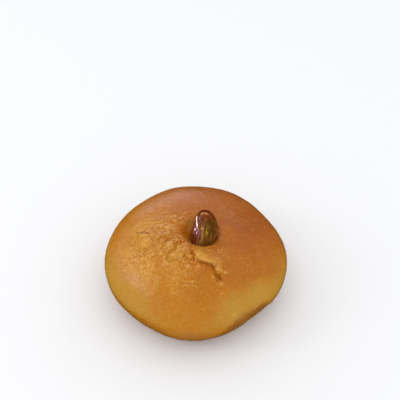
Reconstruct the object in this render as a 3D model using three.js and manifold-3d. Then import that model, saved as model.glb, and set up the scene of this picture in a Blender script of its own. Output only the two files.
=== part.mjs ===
// Sekerpare: a syrup-soaked semolina biscuit with one pistachio kernel pressed into its crown.
// Millimetres, +Z up. The origin is the middle of the footprint, on the flat resting face,
// and -Y is the side with the torn crust.
import * as THREE from "three";
import { mergeVertices } from "three/addons/utils/BufferGeometryUtils.js";
import Module from "manifold-3d";

// Biscuit dome
const WAIST_RADIUS = 30;
const WAIST_HEIGHT = 12;
const CROWN_RISE = 16;
const BASE_RADIUS = 21;
// Lobes that keep the plan from being a true circle: a swell repeats `waves` times round the dome.
const LOBES = [
  { waves: 3, swell: 0.26, facing: -11 },
  { waves: 4, swell: 0.48, facing: -2 },
  { waves: 5, swell: 0.3, facing: -17 },
];

// Pistachio kernel
const KERNEL_LENGTH = 17;
const KERNEL_WIDTH = 8.4;
const KERNEL_THICKNESS = 8;
const KERNEL_BLUNTNESS = 0.22;
const KERNEL_PLACE = new THREE.Vector2(2.9, -3.1);
const KERNEL_CENTRE_HEIGHT = 26.4;
const KERNEL_LEAN_BACK = 12;
const KERNEL_LEAN_RIGHT = 5;
// Sideways sway of the kernel's axis, with its pitch and peak in half lengths of the kernel
const KERNEL_SWAY = 0.24;
const KERNEL_SWAY_PITCH = 1.3;
const KERNEL_SWAY_PEAK = 0.35;
const SEAM_FACING = -104;
const SEAM_DEPTH = 0.4;
const SEAM_WIDTH = 0.7;
const RIB_HEIGHT = 0.1;
const RIB_COUNT = 9;
const RIB_TWIST = 2;
const SOCKET_CLEARANCE = 0.3;

// Hollow that the kernel was pressed into: a broad dish, and a tighter pit round the kernel
const DISH_DEPTH = 2.2;
const DISH_REACH = 11;
const PIT_DEPTH = 2.4;
const PIT_PLACE = new THREE.Vector2(2.0, -1.6);
const PIT_FLOOR_RADIUS = 2.6;
const PIT_RIM_RADIUS = 7.0;

// Torn crust in front of the kernel. The crust on the right hand of this route has sunk.
const TEAR_ROUTE = [
  new THREE.Vector2(-0.5, -9.1),
  new THREE.Vector2(1.0, -13.8),
  new THREE.Vector2(5.7, -14.7),
  new THREE.Vector2(6.5, -17.1),
  new THREE.Vector2(8.0, -19.6),
];
const TEAR_DROP = 1.1;
const TEAR_REACH = 5;
const TEAR_LIP = 0.35;
const TEAR_LIP_REACH = 2.2;
const TEAR_EDGE = 0.7;
const TEAR_END_FADE = 3;

// Wrinkled patch on the crown, left of the kernel
const WRINKLE_PLACE = new THREE.Vector2(-9, -8);
const WRINKLE_REACH = 12;
const WRINKLE_WAVES = [
  { pitch: 4.2, heading: 80, height: 0.26, phase: 0 },
  { pitch: 5.3, heading: 27, height: 0.16, phase: 50 },
  { pitch: 3.6, heading: 121, height: 0.12, phase: 200 },
];
const WRINKLE_SWAY = { pitch: 13.5, heading: 10, height: 1.1, phase: 40 };

// Low lumps all over, and the height under which the crust stays smooth
const LUMP_WAVES = [
  { pitch: 19, heading: 20, height: 0.12, phase: 60 },
  { pitch: 23, heading: 110, height: 0.1, phase: 200 },
  { pitch: 29, heading: 160, height: 0.08, phase: 310 },
];
const SMOOTH_FOOT = 5;

// Facets
const DOME_SEGMENTS = 116;
const CROWN_STEPS = 35;
const SIDE_STEPS = 11;
const KERNEL_SEGMENTS = 40;
const KERNEL_RINGS = 22;
const MERGE_DISTANCE = 1e-3;

const radians = THREE.MathUtils.degToRad;
const smoothstep = THREE.MathUtils.smoothstep;
const bell = (distance, reach) => Math.exp(-((distance / reach) ** 2));

// A geometry with nothing but merged positions, and smooth normals worked out from them.
function weld(geometry) {
  geometry.deleteAttribute("uv");
  geometry.deleteAttribute("normal");
  const welded = mergeVertices(geometry, MERGE_DISTANCE);
  welded.computeVertexNormals();
  return welded;
}

// Moves each vertex to where `move(point, normal)` leaves the point.
function reshape(geometry, move) {
  const position = geometry.getAttribute("position");
  const normal = geometry.getAttribute("normal");
  const point = new THREE.Vector3();
  const outward = new THREE.Vector3();
  for (let i = 0; i < position.count; i++) {
    point.fromBufferAttribute(position, i);
    outward.fromBufferAttribute(normal, i);
    move(point, outward);
    position.setXYZ(i, point.x, point.y, point.z);
  }
  geometry.computeVertexNormals();
  return geometry;
}

// Half section of the dome, from the middle of the base out and up to the top of the crown.
function domeProfile() {
  const points = [new THREE.Vector2(0, 0)];
  for (let i = 0; i <= SIDE_STEPS; i++) {
    const turn = (Math.PI / 2) * (1 - i / SIDE_STEPS);
    const radius = BASE_RADIUS + (WAIST_RADIUS - BASE_RADIUS) * Math.cos(turn);
    points.push(new THREE.Vector2(radius, WAIST_HEIGHT * (1 - Math.sin(turn))));
  }
  for (let i = 1; i < CROWN_STEPS; i++) {
    const turn = (Math.PI / 2) * (i / CROWN_STEPS);
    const height = WAIST_HEIGHT + CROWN_RISE * Math.sin(turn);
    points.push(new THREE.Vector2(WAIST_RADIUS * Math.cos(turn), height));
  }
  points.push(new THREE.Vector2(0, WAIST_HEIGHT + CROWN_RISE));
  return points;
}

// How much wider than a circle the plan is in the direction of an angle.
function planScale(angle) {
  const swell = LOBES.reduce(
    (sum, lobe) => sum + lobe.swell * Math.cos(lobe.waves * (angle - radians(lobe.facing))),
    0,
  );
  return 1 + swell / WAIST_RADIUS;
}

// Step of the torn crust at a place in plan: down on the sunken side, a low lip on the other.
function tearStep(place) {
  let nearest = Infinity;
  let side = 1;
  let along = 0;
  let length = 0;
  for (let i = 1; i < TEAR_ROUTE.length; i++) {
    const start = TEAR_ROUTE[i - 1];
    const run = TEAR_ROUTE[i].clone().sub(start);
    const reach = place.clone().sub(start);
    const share = THREE.MathUtils.clamp(reach.dot(run) / run.lengthSq(), 0, 1);
    const distance = reach.distanceTo(run.clone().multiplyScalar(share));
    if (distance < nearest) {
      nearest = distance;
      side = Math.sign(run.cross(reach)) || 1;
      along = length + share * run.length();
    }
    length += run.length();
  }
  const fadeIn = smoothstep(along, 0, TEAR_END_FADE);
  const fadeOut = 1 - smoothstep(along, length - TEAR_END_FADE, length);
  const raised = TEAR_LIP * bell(nearest, TEAR_LIP_REACH);
  const sunken = -TEAR_DROP * bell(nearest, TEAR_REACH);
  const step = smoothstep(side * nearest, -TEAR_EDGE, TEAR_EDGE);
  return fadeIn * fadeOut * THREE.MathUtils.lerp(sunken, raised, step);
}

// Height of one straight wave at a place in plan.
function wave(place, { pitch, heading, height, phase }) {
  const across = place.x * Math.cos(radians(heading)) + place.y * Math.sin(radians(heading));
  return height * Math.sin((2 * Math.PI * across) / pitch + radians(phase));
}

// Crooked ripples on the wrinkled patch.
function wrinkles(place) {
  const swayed = new THREE.Vector2(place.x, place.y + wave(place, WRINKLE_SWAY));
  const height = WRINKLE_WAVES.reduce((sum, each) => sum + wave(swayed, each), 0);
  return height * bell(place.distanceTo(WRINKLE_PLACE), WRINKLE_REACH);
}

// Broad low unevenness of the whole crust.
function lumps(place) {
  return LUMP_WAVES.reduce((sum, each) => sum + wave(place, each), 0);
}

// Depth of the hollow that the kernel was pressed into.
function hollow(place) {
  const dish = DISH_DEPTH * bell(place.distanceTo(KERNEL_PLACE), DISH_REACH);
  const outOfPit = smoothstep(place.distanceTo(PIT_PLACE), PIT_FLOOR_RADIUS, PIT_RIM_RADIUS);
  return dish + PIT_DEPTH * (1 - outOfPit);
}

// Whole dome with its plan, crust relief and hollow, still without the kernel's socket.
function domeGeometry() {
  const lathe = new THREE.LatheGeometry(domeProfile(), DOME_SEGMENTS);
  lathe.rotateX(Math.PI / 2);
  const dome = reshape(weld(lathe), (point) => {
    const scale = planScale(Math.atan2(point.y, point.x));
    point.set(point.x * scale, point.y * scale, point.z);
  });
  return reshape(dome, (point, outward) => {
    const place = new THREE.Vector2(point.x, point.y);
    const onCrown = smoothstep(point.z, WAIST_HEIGHT, WAIST_HEIGHT + CROWN_RISE / 4);
    const aboveFoot = smoothstep(point.z, 0, SMOOTH_FOOT);
    const relief = aboveFoot * lumps(place) + onCrown * (tearStep(place) + wrinkles(place));
    point.addScaledVector(outward, relief);
    point.z -= onCrown * hollow(place);
  });
}

// Pistachio kernel standing on its end round the origin, grown by a clearance.
function kernelGeometry(clearance = 0) {
  const ball = new THREE.SphereGeometry(1, KERNEL_SEGMENTS, KERNEL_RINGS);
  ball.rotateX(Math.PI / 2);
  return reshape(weld(ball), (point) => {
    const angle = Math.atan2(point.y, point.x);
    const girth = Math.hypot(point.x, point.y);
    const halfWidth = KERNEL_WIDTH / 2;
    const fromSeam = Math.abs(Math.sin(angle - radians(SEAM_FACING))) * halfWidth;
    const seam = SEAM_DEPTH * bell(fromSeam, SEAM_WIDTH);
    const rib = RIB_HEIGHT * Math.cos(RIB_COUNT * angle + RIB_TWIST * point.z);
    const grow = clearance + girth * (clearance > 0 ? RIB_HEIGHT : rib - seam);
    const fullness = girth > 0 ? girth ** -KERNEL_BLUNTNESS : 1;
    const sway = KERNEL_SWAY * Math.cos((2 * Math.PI * (point.z - KERNEL_SWAY_PEAK)) / KERNEL_SWAY_PITCH);
    point.x *= fullness * (halfWidth + grow);
    point.x += sway;
    point.y *= fullness * (KERNEL_THICKNESS / 2 + grow);
    point.z *= KERNEL_LENGTH / 2 + clearance;
  });
}

// A closed geometry as a solid that can be cut.
function toSolid(wasm, geometry) {
  const vertProperties = new Float32Array(geometry.getAttribute("position").array);
  const triVerts = new Uint32Array(geometry.index.array);
  return new wasm.Manifold(new wasm.Mesh({ numProp: 3, vertProperties, triVerts }));
}

// The surface of a solid as a geometry.
function toGeometry(solid) {
  const { vertProperties, triVerts } = solid.getMesh();
  const geometry = new THREE.BufferGeometry();
  geometry.setAttribute("position", new THREE.BufferAttribute(vertProperties, 3));
  geometry.setIndex(new THREE.BufferAttribute(triVerts, 1));
  geometry.computeVertexNormals();
  return geometry;
}

function makeKernel() {
  const material = new THREE.MeshStandardMaterial({ color: 0x5e3a1a, roughness: 0.25, metalness: 0 });
  const kernel = new THREE.Mesh(kernelGeometry(), material);
  kernel.name = "pistachio_kernel";
  kernel.position.set(KERNEL_PLACE.x, KERNEL_PLACE.y, KERNEL_CENTRE_HEIGHT);
  kernel.rotation.set(-radians(KERNEL_LEAN_BACK), radians(KERNEL_LEAN_RIGHT), 0);
  return kernel;
}

async function makeBiscuit(kernel) {
  const wasm = await Module();
  wasm.setup();
  kernel.updateMatrixWorld(true);
  const socket = kernelGeometry(SOCKET_CLEARANCE).applyMatrix4(kernel.matrixWorld);
  const cut = toSolid(wasm, domeGeometry()).subtract(toSolid(wasm, socket));
  const material = new THREE.MeshStandardMaterial({ color: 0xbf7f36, roughness: 0.45, metalness: 0 });
  const biscuit = new THREE.Mesh(toGeometry(cut), material);
  biscuit.name = "biscuit";
  return biscuit;
}

// Both pieces, moved together so that the footprint's middle is the origin.
async function makeSekerpare() {
  const kernel = makeKernel();
  const biscuit = await makeBiscuit(kernel);
  const pieces = new THREE.Group();
  pieces.add(biscuit, kernel);
  const middle = new THREE.Box3().setFromObject(biscuit, true).getCenter(new THREE.Vector3());
  pieces.position.set(-middle.x, -middle.y, 0);
  const sekerpare = new THREE.Group();
  sekerpare.add(pieces);
  return sekerpare;
}

export default await makeSekerpare();
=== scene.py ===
"""Looks of the sekerpare: its torn, syrup-soaked crust, its pistachio kernel and a plain studio."""

import logging
import math
from dataclasses import dataclass
from enum import Enum

import bmesh
import bpy
from mathutils import Euler, Matrix, Quaternion, Vector, noise


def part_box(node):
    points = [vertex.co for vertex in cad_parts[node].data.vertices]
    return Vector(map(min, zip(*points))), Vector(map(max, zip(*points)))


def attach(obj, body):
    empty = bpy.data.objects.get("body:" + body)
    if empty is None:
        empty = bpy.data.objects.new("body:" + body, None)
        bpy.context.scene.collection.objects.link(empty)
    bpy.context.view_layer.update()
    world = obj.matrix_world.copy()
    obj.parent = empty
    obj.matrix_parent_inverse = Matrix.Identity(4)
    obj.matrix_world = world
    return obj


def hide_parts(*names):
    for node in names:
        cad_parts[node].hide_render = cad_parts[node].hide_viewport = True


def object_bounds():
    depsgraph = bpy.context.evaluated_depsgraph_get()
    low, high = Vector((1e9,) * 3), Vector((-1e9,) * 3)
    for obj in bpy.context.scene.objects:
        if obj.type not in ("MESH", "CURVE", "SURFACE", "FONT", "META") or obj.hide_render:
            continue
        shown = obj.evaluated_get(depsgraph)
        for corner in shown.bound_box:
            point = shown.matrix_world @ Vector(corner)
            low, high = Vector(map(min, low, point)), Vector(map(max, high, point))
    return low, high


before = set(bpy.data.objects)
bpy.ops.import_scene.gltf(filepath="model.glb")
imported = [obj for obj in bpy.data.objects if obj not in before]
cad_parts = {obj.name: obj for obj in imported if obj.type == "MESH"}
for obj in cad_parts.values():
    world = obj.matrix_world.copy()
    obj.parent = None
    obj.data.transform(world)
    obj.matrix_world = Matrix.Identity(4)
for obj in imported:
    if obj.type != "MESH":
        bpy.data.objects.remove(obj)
CAD_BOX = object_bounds()

LOG = logging.getLogger("sekerpare")
BISCUIT_PIECE = "sekerpare_biscuit"
KERNEL_PIECE = "sekerpare_kernel"
MM = 0.001
RIGHT = (1.0, 0.0, 0.0)
BACK = (0.0, 1.0, 0.0)
UP = (0.0, 0.0, 1.0)

# A share of a form that is too faint to work out.
FAINT = 0.01
# How much further a relief's seed shifts it in y than in x.
SEED_SKEW = 1.7
# Middle value of a noise texture.
PATTERN_MEAN = 0.5
# Where a Mix node has its factor, its two colours and its result.
MIX_SHARE, MIX_BASE, MIX_OVER, MIX_RESULT = 0, 6, 7, 2

Colour = tuple[float, float, float]
Point = tuple[float, float, float]
Place = tuple[float, float]
Span = tuple[float, float]
Mesh = bmesh.types.BMesh
Piece = bpy.types.Object
Material = bpy.types.Material
Socket = bpy.types.NodeSocket
Node = bpy.types.Node
Inputs = dict[str | int, object]


class Layer(Enum):
    """Names of the values that a mesh carries for its finish."""

    HEIGHT = "fine_height"
    ROUGH = "rough_crust"
    SCAR = "torn_crumb"
    # Painted light on the torn plate, its wall and the lips of splits.
    LIT_LIP = "torn_lip"
    GRAIN = "semolina_grain"
    # Painted shade in the splits and at the foot of the tear's step.
    SPLIT = "crust_split"
    FOOT = "browned_foot"
    # Painted shade: deep orange on the pit wall beside the kernel, which is also glossy with syrup.
    SHADED_POOL = "syrup_pool"
    SEED = "seed_place"


class Body(Enum):
    """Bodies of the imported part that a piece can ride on."""

    ROOT = "root"


class CadNode(Enum):
    """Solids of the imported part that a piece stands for."""

    BISCUIT = "biscuit"
    KERNEL = "pistachio_kernel"


class Slot(Enum):
    """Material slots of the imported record."""

    CRUST = "crust"
    KERNEL = "kernel"


class Sum(Enum):
    """Sums of a shader's Math node."""

    ADD = "ADD"
    SUBTRACT = "SUBTRACT"
    MULTIPLY = "MULTIPLY"
    MULTIPLY_ADD = "MULTIPLY_ADD"
    MAXIMUM = "MAXIMUM"
    ABSOLUTE = "ABSOLUTE"


def srgb(red: int, green: int, blue: int) -> Colour:
    """Linear light of a colour given in display values.

    Args:
        red: Red, 0 to 255.
        green: Green, 0 to 255.
        blue: Blue, 0 to 255.

    Returns:
        The colour in linear light, each channel 0 to 1.
    """

    def linear(channel: int) -> float:
        """Linear light of one channel, by the curve of the sRGB standard."""
        share = channel / 255
        return share / 12.92 if share <= 0.04045 else ((share + 0.055) / 1.055) ** 2.4

    return linear(red), linear(green), linear(blue)


def smoothstep(value: float, low: float, high: float) -> float:
    """Eased share of the way from low, which gives 0, to high, which gives 1."""
    share = min(1.0, max(0.0, (value - low) / (high - low)))
    return share * share * (3 - 2 * share)


def bell(distance: float, reach: float) -> float:
    """Bell curve that is 1 at no distance and fades over the reach."""
    return math.exp(-((distance / reach) ** 2))


@dataclass(frozen=True)
class Ripple:
    """Smooth random relief: the size of its largest bumps in millimetres, its seed, its finer layers."""

    size: float
    seed: float
    octaves: int = 1
    falloff: float = 0.9
    refinement: float = 2.0

    def at(self, point: Vector) -> float:
        """Relief at a point.

        Args:
            point: Point in millimetres.

        Returns:
            A height of about -1 to 1.
        """
        spot = point / self.size + Vector((self.seed, SEED_SKEW * self.seed, -self.seed))
        if self.octaves == 1:
            return noise.noise(spot)
        return noise.fractal(spot, self.falloff, self.refinement, self.octaves)


@dataclass(frozen=True)
class Shake:
    """Random shift in plan that makes straight forms ragged: its amount in millimetres, in x and y."""

    amount: float
    in_x: Ripple
    in_y: Ripple

    def of(self, point: Vector) -> Vector:
        """The point, shifted."""
        return point + self.amount * Vector((self.in_x.at(point), self.in_y.at(point), 0.0))


@dataclass(frozen=True)
class Lobe:
    """A swell that repeats round the dome's plan, so that it isn't a true circle."""

    waves: int
    swell: float
    facing: float

    def at(self, angle: float) -> float:
        """Swell in a direction, in millimetres."""
        return self.swell * math.cos(self.waves * (angle - math.radians(self.facing)))


@dataclass(frozen=True)
class Wave:
    """A straight wave across the plan, in millimetres and degrees."""

    pitch: float
    heading: float
    height: float
    phase: float

    def at(self, x: float, y: float) -> float:
        """Height of the wave at a place in plan."""
        across = x * math.cos(math.radians(self.heading)) + y * math.sin(math.radians(self.heading))
        return self.height * math.sin(math.tau * across / self.pitch + math.radians(self.phase))


@dataclass(frozen=True)
class Oval:
    """An oval in plan: its middle and its half widths."""

    middle: Place
    reach: Place

    def off(self, x: float, y: float) -> float:
        """How far out a place lies, 1 on the oval's edge."""
        parts = zip((x, y), self.middle, self.reach)
        return math.hypot(*((at - middle) / reach for at, middle, reach in parts))


@dataclass(frozen=True)
class RoutePoint:
    """Where a place lies beside a route."""

    distance: float
    side: float
    along: float


@dataclass(frozen=True)
class Route:
    """A crooked line on the crown, seen in plan."""

    points: tuple[Place, ...]

    @property
    def length(self) -> float:
        """Length of the whole line."""
        return sum(math.dist(a, b) for a, b in zip(self.points, self.points[1:]))

    def near(self, x: float, y: float, margin: float) -> bool:
        """Whether a place lies in the line's box, grown by a margin."""
        xs, ys = zip(*self.points)
        return min(xs) - margin < x < max(xs) + margin and min(ys) - margin < y < max(ys) + margin

    def beside(self, x: float, y: float) -> RoutePoint:
        """Nearest spot of the line to a place.

        Args:
            x: Place in plan.
            y: Place in plan.

        Returns:
            The distance to the line, the side of it (1 left, -1 right) and the length before it.
        """
        best = RoutePoint(math.inf, 1.0, 0.0)
        before = 0.0
        for (ax, ay), (bx, by) in zip(self.points, self.points[1:]):
            run_x, run_y = bx - ax, by - ay
            run = math.hypot(run_x, run_y)
            share = ((x - ax) * run_x + (y - ay) * run_y) / (run * run)
            share = min(1.0, max(0.0, share))
            distance = math.hypot(x - ax - share * run_x, y - ay - share * run_y)
            if distance < best.distance:
                cross = run_x * (y - ay) - run_y * (x - ax)
                best = RoutePoint(distance, math.copysign(1.0, cross), before + share * run)
            before += run
        return best


def path(*points: Place) -> Route:
    """Route through some places in plan."""
    return Route(points)


@dataclass(frozen=True)
class Tear:
    """Torn step in the crust: the crumb on the right hand of the route has sunk."""

    route: Route = path(
        (-0.45, -8.3), (0.05, -9.8), (0.45, -11.3), (0.9, -12.6), (2.3, -13.4), (3.7, -13.9),
        (4.9, -14.1), (5.7, -14.2), (6.1, -15.2), (6.55, -16.5), (6.9, -17.4),
    )
    drop: float = 1.1
    reach: float = 5.0
    lip: float = 0.2
    lip_reach: float = 2.4
    plate_reach: float = 3.2
    plate_end: Span = (8.8, 10.6)
    brink: float = 0.4
    brink_reach: float = 0.9
    edge: float = 0.14
    wall: float = 0.3
    start_fade: Span = (-0.8, 4.0)
    end_fade: float = 3.0
    fray: Shake = Shake(0.1, Ripple(1.1, 2.4, 2), Ripple(1.1, 5.8, 2))
    wear: Ripple = Ripple(1.6, 7.2, 2)
    wear_mean: float = 0.95
    wear_spread: float = 0.4
    shade: float = 0.9
    shade_reach: float = 0.42
    shade_start: Span = (3.4, 5.2)
    slump: float = 0.4
    slump_share: float = 0.55
    slump_start: Span = (7.6, 9.6)

    def shape(self, point: Vector) -> tuple[float, float, float, float]:
        """Step, scar, lip and shade of the tear at a point.

        Args:
            point: Point of the crust, in millimetres.

        Returns:
            The height of the step in millimetres, and how much the place belongs to the sunken
            scar, to the painted light on the raised plate and its wall, and to the painted shadow at
            the foot of the step, each 0 to 1.
        """
        frayed = self.fray.of(point)
        near = self.route.beside(frayed.x, frayed.y)
        beyond = near.side * near.distance
        fade = smoothstep(near.along, *self.start_fade)
        fade *= 1 - smoothstep(near.along, self.route.length - self.end_fade, self.route.length)
        slumped = smoothstep(near.along, *self.slump_start)
        edge = self.edge + self.slump * slumped
        high = smoothstep(beyond, -edge, edge)
        raised = self.lip * bell(near.distance, self.lip_reach)
        sunken = -self.drop * bell(near.distance, self.reach)
        step = fade * (1 - self.slump_share * slumped) * (high * raised + (1 - high) * sunken)
        scar = fade * (1 - high) * bell(near.distance, self.reach)
        # Painted light: the raised plate and the wall at its edge are paler, as where light falls on them.
        plate = (1 - self.brink) * bell(near.distance, self.plate_reach)
        plate *= 1 - smoothstep(near.along, *self.plate_end)
        lit = fade * smoothstep(beyond, -self.wall, 0.0)
        lit *= self.wear_mean + self.wear_spread * self.wear.at(point)
        lip = lit * (plate + self.brink * bell(near.distance, self.brink_reach))
        # Painted shadow below the raised plate, at the foot of the step.
        shade = self.shade * fade * (1 - high) * bell(near.distance, self.shade_reach)
        return step, scar, lip, shade * smoothstep(near.along, *self.shade_start)


@dataclass(frozen=True)
class Split:
    """Short split or fold in the crust, with raised lips beside it, painted shade inside it and painted
    light on its lips.

    Sizes are in millimetres, but the lips' place and spread are in half widths of the split.
    """

    route: Route
    depth: float
    half_width: float
    lip: float
    inner_shade: float
    lip_light: float = 0.0
    lip_place: float = 2.2
    lip_spread: float = 1.3
    margin: float = 2.5

    def shape(self, x: float, y: float) -> tuple[float, float, float]:
        """Cut of the split at a place in plan.

        Args:
            x: Place in plan.
            y: Place in plan.

        Returns:
            The height in millimetres, and the painted shade in the split and the painted light on its lips
            there, 0 to 1.
        """
        if not self.route.near(x, y, self.margin):
            return 0.0, 0.0, 0.0
        near = self.route.beside(x, y)
        share = near.along / self.route.length
        taper = math.sqrt(max(0.0, 4 * share * (1 - share)))
        inside = taper * bell(near.distance, self.half_width)
        off_lip = near.distance - self.lip_place * self.half_width
        lip = taper * bell(off_lip, self.lip_spread * self.half_width)
        return self.lip * lip - self.depth * inside, self.inner_shade * inside, self.lip_light * lip


@dataclass(frozen=True)
class Crumb:
    """A single pale crumb that stands out of the crust."""

    place: Point
    radius: float = 0.5
    height: float = 0.14

    def share(self, point: Vector) -> float:
        """Share of the crumb at a point of the plain dome, 1 at its middle."""
        return bell(math.dist(point, self.place), self.radius)


@dataclass(frozen=True)
class Foot:
    """Browned edge above the resting face, which climbs at the front right and is drawn in there."""

    start: float = -75.0
    end: float = -36.5
    start_fade: float = 13.0
    end_fade: float = 8.0
    low_top: float = 4.0
    top: float = 11.4
    arch: float = 1.3
    edge: float = 1.6
    fray_height: float = 1.7
    fray: Ripple = Ripple(3.2, 4.2, 3)
    recess: float = 0.3
    bulge: float = 0.4
    bulge_facing: float = -33.0
    bulge_spread: float = 9.0
    bulge_height: float = 13.0
    bulge_reach: float = 5.0
    underside: Span = (4.0, 13.0)
    underside_fray: Ripple = Ripple(6.4, 7.7, 2)

    def shape(self, point: Vector) -> tuple[float, float]:
        """Step and browning of the foot.

        Args:
            point: Point of the plain dome, in millimetres.

        Returns:
            The height in millimetres, and the share of browned crust.
        """
        angle = math.degrees(math.atan2(point.y, point.x))
        climb = smoothstep(angle, self.start - self.start_fade, self.start + self.start_fade)
        climb *= 1 - smoothstep(angle, self.end - self.end_fade, self.end + self.end_fade)
        way = min(1.0, max(0.0, (angle - self.start) / (self.end - self.start)))
        raised = self.top + self.arch * math.sin(math.pi * way) - self.low_top
        top = self.low_top + climb * raised + self.fray_height * self.fray.at(point)
        band = 1 - smoothstep(point.z, top - self.edge, top + self.edge)
        bulge = self.bulge * bell(angle - self.bulge_facing, self.bulge_spread)
        bulge *= bell(point.z - self.bulge_height, self.bulge_reach)
        ragged = point.z + self.fray_height * self.underside_fray.at(point)
        under = 1 - smoothstep(ragged, *self.underside)
        return bulge - self.recess * band, max(band, under)


@dataclass(frozen=True)
class Puckers:
    """Folds that run towards the hollow on its left."""

    height: float = 0.24
    width: float = 1.15
    length: float = 4.5
    ring: float = 9.5
    ring_spread: float = 5.0
    facing: float = 178.0
    facing_spread: float = 46.0
    seed: float = 2.2
    fine_seed: float = 7.9
    fine_share: float = 0.5
    fine_across: float = 2.1
    fine_along: float = 2.0

    def at(self, x: float, y: float, centre: Place) -> float:
        """Height of the folds at a place in plan.

        Args:
            x: Place in plan.
            y: Place in plan.
            centre: Middle of the hollow.

        Returns:
            The height in millimetres.
        """
        radius = math.hypot(x - centre[0], y - centre[1])
        angle = math.degrees(math.atan2(y - centre[1], x - centre[0])) % 360
        fade = bell(radius - self.ring, self.ring_spread) * bell(angle - self.facing, self.facing_spread)
        if fade < FAINT:
            return 0.0
        across = math.radians(angle) * self.ring / self.width
        along = radius / self.length
        fold = noise.noise(Vector((across, along, self.seed)))
        finer = Vector((self.fine_across * across, self.fine_along * along, self.fine_seed))
        return self.height * fade * (fold + self.fine_share * noise.noise(finer))


@dataclass(frozen=True)
class Flakes:
    """Small plates of broken crust beside the tear, each tipped its own way."""

    height: float = 0.24
    size: float = 2.4
    middle: Place = (-6.5, -10.5)
    reach: float = 7.5
    warp: Shake = Shake(0.9, Ripple(1.8, 1.3), Ripple(1.8, 4.6))
    seed: float = 11.3
    joint: float = 0.45
    rise: float = 0.6
    mean: float = 0.5

    def at(self, point: Vector) -> float:
        """Height of the plates at a point.

        Args:
            point: Point of the crust, in millimetres.

        Returns:
            The height in millimetres.
        """
        fade = bell(math.dist(point.xy, self.middle), self.reach)
        if fade < FAINT:
            return 0.0
        spot = self.warp.of(point) / self.size
        distances, centres = noise.voronoi(spot)
        lean = math.tau * noise.cell_vector(self.seed * centres[0]).x
        tilt = (spot.x - centres[0].x) * math.cos(lean) + (spot.y - centres[0].y) * math.sin(lean)
        plate = smoothstep(distances[1] - distances[0], 0.0, self.joint)
        return self.height * fade * (plate * (self.rise + tilt) - self.mean)


@dataclass(frozen=True)
class Wrinkles:
    """Short curled wrinkles of the rough patch, worn away in places."""

    height: float = 0.26
    sharpness: float = 3.2
    mean: float = 0.12
    curl: Shake = Shake(0.9, Ripple(2.1, 1.9), Ripple(2.1, 6.6))
    line: Ripple = Ripple(2.2, 12.6)
    wear: Ripple = Ripple(1.9, 21.3)
    wear_edges: Span = (-0.1, 0.35)

    def at(self, point: Vector) -> float:
        """Height of the wrinkles at a point.

        Args:
            point: Point of the crust, in millimetres.

        Returns:
            The height in millimetres, about 0 in the mean.
        """
        ridge = 1 - min(1.0, self.sharpness * abs(self.line.at(self.curl.of(point))))
        worn = smoothstep(self.wear.at(point), *self.wear_edges)
        return self.height * (worn * ridge * ridge - self.mean)


@dataclass(frozen=True)
class Grains:
    """Semolina grains that stand out of the crust, most of them in the rough patch."""

    spacing: float = 1.7
    radius: float = 0.4
    height: float = 0.1
    share: float = 0.25
    seed: float = 7.3
    least_radius: float = 0.65
    radius_spread: float = 0.5
    flat_top: float = 0.2
    on_smooth: float = 0.2

    def at(self, point: Vector, patch: float) -> float:
        """Share of a grain that stands out at a point.

        Args:
            point: Point of the crust, in millimetres.
            patch: Share of the rough patch there.

        Returns:
            0 between grains to 1 on the top of one.
        """
        distances, centres = noise.voronoi(point / self.spacing)
        chance = noise.cell_vector(self.seed * centres[0])
        if abs(chance.x) % 1.0 > self.share:
            return 0.0
        radius = self.radius * (self.least_radius + self.radius_spread * (abs(chance.y) % 1.0))
        grain = 1 - smoothstep(distances[0] * self.spacing, self.flat_top * radius, radius)
        return grain * (self.on_smooth + (1 - self.on_smooth) * patch)


@dataclass(frozen=True)
class KernelForm:
    """Form of the kernel, how it stands in the crown and how tightly the crust grips it."""

    place: Place = (2.9, -3.1)
    centre_height: float = 26.4
    lean_back: float = 12.0
    lean_right: float = 5.0
    length: float = 17.0
    width: float = 8.4
    thickness: float = 8.0
    bluntness: float = 0.22
    sway: float = 0.24
    sway_pitch: float = 1.3
    sway_peak: float = 0.35
    grip: float = 0.1
    sink_steps: int = 14

    def matrix(self) -> Matrix:
        """Placement of the kernel, from its own frame to the biscuit's."""
        turn = Euler((-math.radians(self.lean_back), math.radians(self.lean_right), 0.0), "XYZ")
        return Matrix.Translation((*self.place, self.centre_height)) @ turn.to_matrix().to_4x4()

    def axis_offset(self, share: float) -> float:
        """Sideways sway of the axis at a share of the half length."""
        return self.sway * math.cos(math.tau * (share - self.sway_peak) / self.sway_pitch)

    def holds(self, point: Vector) -> bool:
        """Whether a point lies in the room that the crust leaves for the kernel.

        Args:
            point: Point of the kernel's own frame, in millimetres.

        Returns:
            True inside the kernel, apart from the skin that the crust grips.
        """
        share = point.z / (self.length / 2 - self.grip)
        if abs(share) >= 1:
            return False
        across = (point.x - self.axis_offset(share)) / (self.width / 2 - self.grip)
        deep = point.y / (self.thickness / 2 - self.grip)
        return math.hypot(across, deep) < (1 - share * share) ** ((1 - self.bluntness) / 2)

    def socket_depth(self, point: Vector, inverse: Matrix) -> float:
        """How far a point has to sink straight down to leave the kernel's room.

        Args:
            point: Point of the crust, in millimetres.
            inverse: From the biscuit's frame to the kernel's.

        Returns:
            The depth in millimetres, 0 where the point is clear of the kernel.
        """
        spot = inverse @ point
        if not self.holds(spot):
            return 0.0
        down = inverse.to_3x3() @ Vector((0.0, 0.0, -1.0))
        inside, outside = 0.0, 2 * self.length
        for _ in range(self.sink_steps):
            middle = (inside + outside) / 2
            if self.holds(spot + middle * down):
                inside = middle
            else:
                outside = middle
        return outside


@dataclass(frozen=True)
class CrustSpot:
    """What the crust does at one place: its height and the marks that its finish reads."""

    height: float
    marks: dict[Layer, float]


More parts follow.
